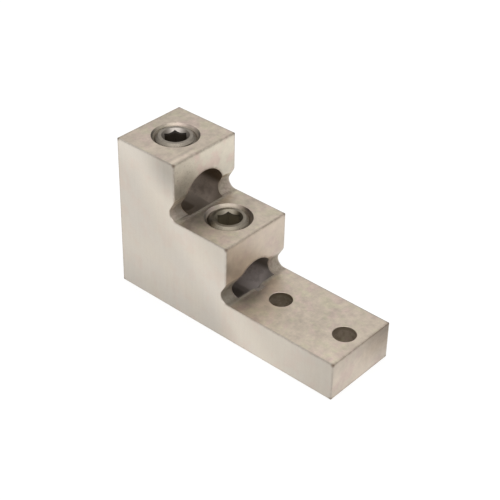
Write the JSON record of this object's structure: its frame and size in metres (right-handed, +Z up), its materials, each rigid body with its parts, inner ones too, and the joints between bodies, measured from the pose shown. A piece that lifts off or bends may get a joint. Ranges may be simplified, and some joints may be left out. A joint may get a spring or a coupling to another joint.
{
  "type": "mechanical lug",
  "caption": "Stepped aluminium lug with stacked wire bores, each clamped by a hex-socket set screw, and a flat tang drilled for bolts.",
  "frame": {"origin": "middle of the flat base", "axes": "+X from the wire-entry face to the end of the tang, +Y across the width, +Z up through the set screws"},
  "size_m": [0.1224, 0.0382, 0.0751],
  "materials": {
    "plated_block": "dull tin plating over a sawn and milled extrusion",
    "plated_screw": "dull tin plating over turned metal"
  },
  "bodies": {
    "block": {"lug_body": "plated_block"},
    "upper_screw": {"upper_set_screw": "plated_screw"},
    "lower_screw": {"lower_set_screw": "plated_screw"}
  },
  "joints": [
    {"name": "upper_screw_feed", "type": "slide", "parent": "block", "child": "upper_screw", "axis": [0, 0, 1], "range_m": [-0.00476, 0.0127]},
    {"name": "lower_screw_feed", "type": "slide", "parent": "block", "child": "lower_screw", "axis": [0, 0, 1], "range_m": [-0.00953, 0.00794]}
  ]
}
